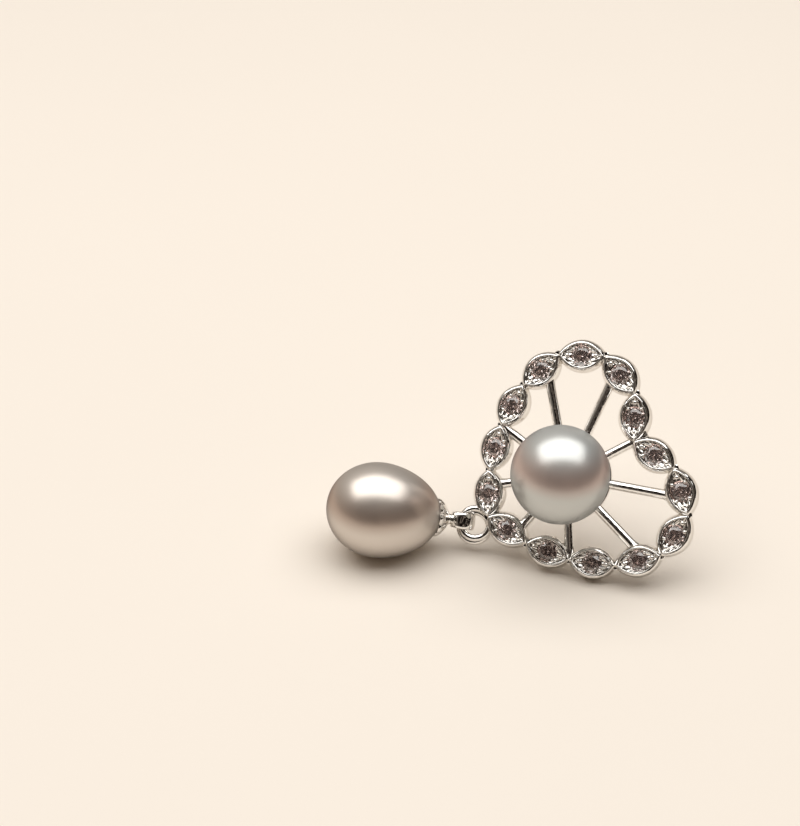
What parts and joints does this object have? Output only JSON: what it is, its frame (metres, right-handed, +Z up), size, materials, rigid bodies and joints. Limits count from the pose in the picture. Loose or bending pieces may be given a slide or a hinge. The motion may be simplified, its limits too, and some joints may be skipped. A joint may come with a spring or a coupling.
{
  "type": "pearl drop earring",
  "caption": "Openwork heart earring of stone-set pointed-oval settings with a round grey pearl on spokes, an ear post behind it and a pearl drop on a ring, lying on a surface.",
  "frame": {"origin": "on the resting surface, under the middle of the earring's box", "axes": "+Z up from the surface, +X along the earring from the drop to the heart, -Y towards the side that the heart faces"},
  "size_m": [0.0314, 0.0164, 0.0168],
  "materials": {
    "silver": "bright polished silver with a clear plating",
    "stone": "clear faceted stone",
    "grey_pearl": "silver-grey pearl lustre",
    "taupe_pearl": "taupe pearl lustre"
  },
  "bodies": {
    "root": {"heart_frame": "silver", "stone_01": "stone", "stone_02": "stone", "stone_03": "stone", "stone_04": "stone", "stone_05": "stone", "stone_06": "stone", "stone_07": "stone", "stone_08": "stone", "stone_09": "stone", "stone_10": "stone", "stone_11": "stone", "stone_12": "stone", "stone_13": "stone", "stone_14": "stone", "button_pearl": "grey_pearl", "drop_pearl": "taupe_pearl", "drop_cap": "silver"}
  },
  "joints": []
}
